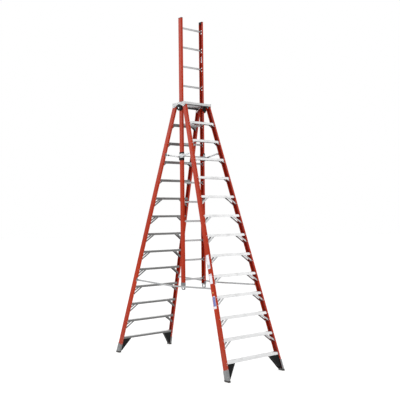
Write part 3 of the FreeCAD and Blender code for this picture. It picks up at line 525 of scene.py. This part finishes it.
def label(name, body, place, along, facing, width, length, bands):
    """Thin vinyl label with plain ink bands, laid on a flat face."""
    bm = bmesh.new()
    outline = rounded_outline(width, length, LABEL_CORNER)
    loft(bm, [[(x, y, 0.0) for x, y in outline],
              [(x, y, LABEL_WALL) for x, y in outline]])
    cuts = [(0, -width / 2 + LABEL_MARGIN), (0, width / 2 - LABEL_MARGIN)]
    for low, high, _ in bands:
        cuts += [(1, length * (low - 0.5)), (1, length * (high - 0.5))]
    for axis, level in cuts:
        point = Vector((0, 0, 0))
        point[axis] = level
        normal = Vector((0, 0, 0))
        normal[axis] = 1
        everything = bm.verts[:] + bm.edges[:] + bm.faces[:]
        bmesh.ops.bisect_plane(bm, geom=everything, dist=LABEL_CUT, plane_co=point, plane_no=normal)
    inks = ["white"] + sorted({ink for _, _, ink in bands})
    for face in bm.faces:
        middle = face.calc_center_median()
        inside = abs(middle.x) < width / 2 - LABEL_MARGIN and abs(abs(face.normal.z) - 1) < 0.01
        for low, high, ink in bands:
            if inside and low < middle.y / length + 0.5 < high:
                face.material_index = inks.index(ink)
    piece = new_object(name, bm, [INKS[ink] for ink in inks])
    across = along.cross(facing)
    turn = Matrix((across, along, facing)).transposed().to_4x4()
    piece.data.transform(Matrix.Translation(place) @ turn)
    finish_piece(piece, body)


def rail_labels():
    rail = rail_frame("side_b_near_rail", -1)
    _, along, facing = rail
    for name, (height, width, length, bands) in RAIL_LABELS.items():
        place = point_on_rail(rail, height)
        label(name, "side_b", place, along, facing, width, length, bands)


def fly_label():
    """Small label on the inner face of the far fly rail's web."""
    low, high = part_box("fly_far_rail")
    height, width, length, bands = FLY_LABEL
    place = Vector(((low.x + high.x) / 2, high.y - RAIL_WALL, height))
    label("fly_label", "fly", place, UP, -ACROSS, width, length, bands)


def brass_stud():
    """Round-headed brass stud on side B's near rail, below the labels."""
    rail = rail_frame("side_b_near_rail", -1)
    facing = rail[2]
    side = facing.orthogonal().normalized()
    other = facing.cross(side)
    middle = point_on_rail(rail, STUD_HEIGHT)
    rings = []
    for radius, rise in STUD_PROFILE:
        ring = []
        for step in range(STUD_SIDES):
            angle = math.tau * step / STUD_SIDES
            radial = side * math.cos(angle) + other * math.sin(angle)
            ring.append(middle + facing * rise + radial * radius)
        rings.append(ring)
    bm = bmesh.new()
    loft(bm, rings)
    piece = new_object("brass_stud", bm, [brass("brass")])
    smooth(piece)
    finish_piece(piece, "side_b")


# ---------------------------------------------------------------- fly section pieces

def rung_ring(y, z, reach, flutes):
    """Points round a rung at one place along it, with the flutes pressed in by a share of their depth."""
    steps = RUNG_FLUTES * FLUTE_POINTS
    points = []
    for step in range(steps):
        angle = math.tau * step / steps
        here = reach - flutes * FLUTE_DEPTH * (0.5 - 0.5 * math.cos(angle * RUNG_FLUTES))
        points.append((here * math.cos(angle), y, z + here * math.sin(angle)))
    return points


def fluted_rungs(material):
    """Fly rungs with shallow grip flutes pressed along them, in place of the plain tubes."""
    low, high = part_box("fly_rungs")
    radius = (high.x - low.x) / 2
    count = round((high.z - low.z - 2 * radius) / RUNG_PITCH) + 1
    steps = RUNG_FLUTES * FLUTE_POINTS
    stations = [(low.y, 0.0), (low.y + PLAIN_END, 0.0), (low.y + PLAIN_END + FLUTE_FADE, 1.0),
                (high.y - PLAIN_END - FLUTE_FADE, 1.0), (high.y - PLAIN_END, 0.0), (high.y, 0.0)]
    bm = bmesh.new()
    for index in range(count):
        z = low.z + radius + RUNG_PITCH * index
        rings = [rung_ring(y, z, radius, share) for y, share in stations]
        rings += [rung_ring(y, z, radius - RUNG_WALL, 0.0) for y in (high.y, low.y)]
        loops = loft(bm, rings, closed_ends=False)
        for step in range(steps):
            after = (step + 1) % steps
            bm.faces.new((loops[-1][step], loops[-1][after], loops[0][after], loops[0][step]))
    piece = new_object("fluted_rungs", bm, [material])
    smooth(piece, 50)
    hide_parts("fly_rungs")
    finish_piece(piece, "fly")


def boot_pads(material):
    """Rubber pad over the lower part of each ring boot, on the side towards side B."""
    low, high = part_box("fly_boots")
    centre = Vector(((low.x + high.x) / 2, 0, low.z + RING_RADIUS))
    bm = bmesh.new()
    for side in (-1, 1):
        middle_y = side * (high.y - RING_BACK - RING_WALL / 2)
        rings = []
        for step in range(PAD_STEPS + 1):
            share = step / PAD_STEPS
            angle = math.radians(PAD_START + (PAD_END - PAD_START) * share)
            radial = Vector((math.cos(angle), 0, math.sin(angle)))
            swell = PAD_END_SHARE + PAD_SWELL * math.sin(math.pi * share) ** PAD_SWELL_POWER
            ring = []
            for across, out in rounded_outline(RING_WALL + PAD_WRAP, PAD_THICKNESS * swell, PAD_CORNER):
                away = radial * (RING_RADIUS - PAD_SINK + out)
                ring.append(centre + ACROSS * (middle_y + across) + away)
            rings.append(ring)
        loft(bm, rings)
    piece = new_object("fly_boot_pads", bm, [material])
    smooth(piece, 35)
    finish_piece(piece, "fly")


# ---------------------------------------------------------------- head and spreader pieces

def tube(bm, points, radius):
    """Round wire through a list of points."""
    tangent = (points[1] - points[0]).normalized()
    across = tangent.orthogonal().normalized()
    rings = []
    for index, point in enumerate(points):
        before = points[max(index - 1, 0)]
        after = points[min(index + 1, len(points) - 1)]
        heading = (after - before).normalized()
        across = (tangent.rotation_difference(heading) @ across).normalized()
        tangent = heading
        other = tangent.cross(across)
        ring = []
        for corner in range(WIRE_SIDES):
            angle = math.tau * corner / WIRE_SIDES
            ring.append(point + (across * math.cos(angle) + other * math.sin(angle)) * radius)
        rings.append(ring)
    loft(bm, rings)


def lock_springs(material):
    """Closing spring of each rung lock: wound on the lock bar, with a leg over the collar to the tail."""
    low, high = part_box("lock_bar")
    axis = Vector(((low.x + high.x) / 2, 0, (low.z + high.z) / 2))
    bar = (high.z - low.z) / 2 - LOCK_COLLAR_RISE
    coil = bar + SPRING_WIRE + COIL_CLEAR
    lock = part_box("rung_locks")[1].y
    start_y = lock + LOCK_COLLAR_REACH + SPRING_WIRE + COLLAR_CLEAR
    tail = math.radians(SPRING_TAIL_ANGLE)
    steps = SPRING_TURNS * SPRING_TURN_STEPS
    bm = bmesh.new()
    for side in (-1, 1):
        def at(angle, radius, y):
            return axis + Vector((radius * math.cos(angle), side * y, radius * math.sin(angle)))

        leg = bar + LOCK_COLLAR_RISE + SPRING_WIRE + LEG_CLEAR
        points = [at(tail, leg, lock + SPRING_WIRE), at(tail, leg, start_y - LEG_BEND),
                  at(tail, leg - LEG_DIP, start_y)]
        for step in range(steps + 1):
            y = start_y + SPRING_PITCH * SPRING_WIRE * SPRING_TURNS * step / steps
            points.append(at(tail + math.tau * SPRING_TURNS * step / steps, coil, y))
        points.append(points[-1] + (points[-1] - points[-2]).normalized() * SPRING_TAIL)
        tube(bm, points, SPRING_WIRE)
    piece = new_object("lock_springs", bm, [material])
    smooth(piece, 60)
    finish_piece(piece, "locks")


def bead(bm, start, end, proud):
    """Half-round pressed rib between two points on a bar's face, fading at its ends."""
    along = (end - start).normalized()
    across = along.cross(proud)
    length = (end - start).length
    fade = BEAD_WIDTH * BEAD_FADE
    stations = [(fade * reach, share) for reach, share in BEAD_ENDS]
    stations += [(length - fade * reach, share) for reach, share in reversed(BEAD_ENDS)]
    rings = []
    for distance, share in stations:
        middle = start + along * distance
        ring = [middle + across * (BEAD_WIDTH / 2 * share) - proud * BEAD_SINK,
                middle - across * (BEAD_WIDTH / 2 * share) - proud * BEAD_SINK]
        for step in range(BEAD_STEPS + 1):
            angle = math.pi * step / BEAD_STEPS
            ring.append(middle - across * (BEAD_WIDTH / 2 * share * math.cos(angle))
                        + proud * (BEAD_RISE * share * math.sin(angle)))
        rings.append(ring)
    loft(bm, rings)


def spreader_beads(material):
    """Stiffening rib along the face of each spreader bar that carries its pivot head."""
    for level, side in (("lower", "a"), ("lower", "b"), ("upper", "a"), ("upper", "b")):
        low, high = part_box(level + "_spreader_bars_" + side)
        end = BAR_WIDTH / 2
        if side == "a":
            pin = Vector((low.x + end, 0, high.z - end))
            free = Vector((high.x - end, 0, low.z + end))
        else:
            pin = Vector((high.x - end, 0, high.z - end))
            free = Vector((low.x + end, 0, low.z + end))
        inwards = level == "lower" and side == "b"
        face = high.y - BAR_WALL if inwards else high.y - PIVOT_HEAD_RISE
        along = (free - pin).normalized()
        bm = bmesh.new()
        for half in (-1, 1):
            shift = ACROSS * (half * face)
            proud = ACROSS * (-half if inwards else half)
            bead(bm, pin + along * PIVOT_CLEAR + shift, free - along * PIVOT_CLEAR + shift, proud)
        piece = new_object(level + "_spreader_beads_" + side, bm, [material])
        smooth(piece, 50)
        finish_piece(piece, level + "_bars_" + side)


# ---------------------------------------------------------------- finishes on the CAD nodes

def paint(node, material):
    """Give every material slot of a CAD node's object this material."""
    owner = frame["nodes"][node]
    if not owner.material_slots:
        owner.data.materials.append(material)
    for place in owner.material_slots:
        place.material = material


def dress_nodes():
    """Finish each CAD node by its record slot; rails get fibres along their own direction."""
    # The keyword share in these finishes sets how much painted shade darkens faces that look down.
    shared = {
        "tread_metal": aluminium("tread_aluminium", BRIGHT_METAL, down_shade=0.90),
        "brace_metal": stamped("stamped_aluminium", SATIN_METAL),
        "rivet_metal": stamped("rivet_aluminium", BRIGHT_METAL, rough=0.30),
        "zinc_steel": zinc("zinc_plate"),
        "rung_metal": aluminium("rung_aluminium", TUBE_METAL, rough=0.30),
        "black_plastic": moulded("black_plastic"),
        "black_steel": painted_black("black_paint"),
        "black_rubber": rubber("black_rubber"),
    }
    own = {
        "head_plates": stamped("head_aluminium", HEAD_METAL, rough=0.40, down_shade=0.3),
        "side_a_foot_boots": stamped("boot_aluminium", BOOT_METAL, down_shade=0.4),
    }
    own["side_b_foot_boots"] = own["side_a_foot_boots"]
    own["fly_boots"] = own["side_a_foot_boots"]
    for entry in frame["record"]["subparts"]:
        node = entry["node"]
        if node in own:
            paint(node, own[node])
            continue
        if entry["material_slot"] != "fibreglass":
            paint(node, shared[entry["material_slot"]])
            continue
        outward = 1 if "far" in node else -1
        along = rail_frame(node, outward)[1]
        paint(node, fibreglass(node + "_fibreglass", along, ACROSS * -outward))
    return shared


# ---------------------------------------------------------------- studio

def soft_box(name, place, target, size, power):
    lamp = bpy.data.lights.new(name, "AREA")
    lamp.shape = "SQUARE"
    lamp.size = size
    lamp.energy = power
    holder = bpy.data.objects.new(name, lamp)
    heading = (Vector(target) - Vector(place)).normalized()
    holder.rotation_euler = heading.to_track_quat("-Z", "Y").to_euler()
    holder.location = place
    bpy.context.scene.collection.objects.link(holder)


def studio():
    world = bpy.data.worlds.new("studio")
    world.use_nodes = True
    tree = world.node_tree
    background = tree.nodes["Background"]
    background.inputs["Color"].default_value = WHITE + (1.0,)
    direction = tree.nodes.new("ShaderNodeTexCoord")
    share = tree.nodes.new("ShaderNodeVectorMath")
    share.operation = "DOT_PRODUCT"
    share.inputs[1].default_value = BEHIND
    strength = tree.nodes.new("ShaderNodeMapRange")
    ends = {"From Min": WORLD_FADE[0], "From Max": WORLD_FADE[1], "To Min": WORLD_NEAR,
            "To Max": WORLD_BEHIND}
    for key, value in ends.items():
        strength.inputs[key].default_value = value
    tree.links.new(direction.outputs["Generated"], share.inputs[0])
    tree.links.new(share.outputs["Value"], strength.inputs["Value"])
    tree.links.new(strength.outputs["Result"], background.inputs["Strength"])
    bpy.context.scene.world = world
    bpy.context.scene.view_settings.view_transform = "Standard"
    for name, (place, target, size, power) in SOFT_BOXES.items():
        soft_box(name, place, target, size, power)


def studio_floor():
    bm = bmesh.new()
    rings = []
    angles = [math.tau * step / FLOOR_SIDES for step in range(FLOOR_SIDES)]
    for radius in FLOOR_RADII:
        rings.append([bm.verts.new((radius * math.cos(angle), radius * math.sin(angle), 0.0))
                      for angle in angles])
    bm.faces.new(rings[0])
    for inner, outer in zip(rings, rings[1:]):
        for step in range(FLOOR_SIDES):
            after = (step + 1) % FLOOR_SIDES
            bm.faces.new((inner[step], outer[step], outer[after], inner[after]))
    new_object("studio_floor", bm, [pale_floor("studio_floor")])


def camera():
    azimuth = math.radians(CAMERA_AZIMUTH)
    pitch = math.radians(CAMERA_PITCH)
    roll = math.radians(CAMERA_ROLL)
    forward = Vector((-math.sin(azimuth) * math.cos(pitch), math.cos(azimuth) * math.cos(pitch),
                      math.sin(pitch)))
    right = forward.cross(UP).normalized()
    above = right.cross(forward)
    x_axis = right * math.cos(roll) + above * math.sin(roll)
    y_axis = above * math.cos(roll) - right * math.sin(roll)
    lens = bpy.data.cameras.new("camera")
    lens.lens = CAMERA_LENS
    lens.sensor_width = CAMERA_SENSOR
    lens.clip_end = CAMERA_REACH
    holder = bpy.data.objects.new("camera", lens)
    turn = Matrix((x_axis, y_axis, -forward)).transposed().to_4x4()
    holder.matrix_world = Matrix.Translation(CAMERA_PLACE) @ turn
    bpy.context.scene.collection.objects.link(holder)
    bpy.context.scene.camera = holder


# ---------------------------------------------------------------- build

finishes = dress_nodes()
INKS.update({
    "white": vinyl("label_white", LABEL_WHITE),
    "grey": vinyl("label_grey", LABEL_GREY),
    "blue": vinyl("label_blue", LABEL_BLUE),
})
rail_labels()
fly_label()
brass_stud()
fluted_rungs(finishes["rung_metal"])
boot_pads(finishes["black_rubber"])
lock_springs(finishes["zinc_steel"])
spreader_beads(finishes["zinc_steel"])
studio()
studio_floor()
camera()
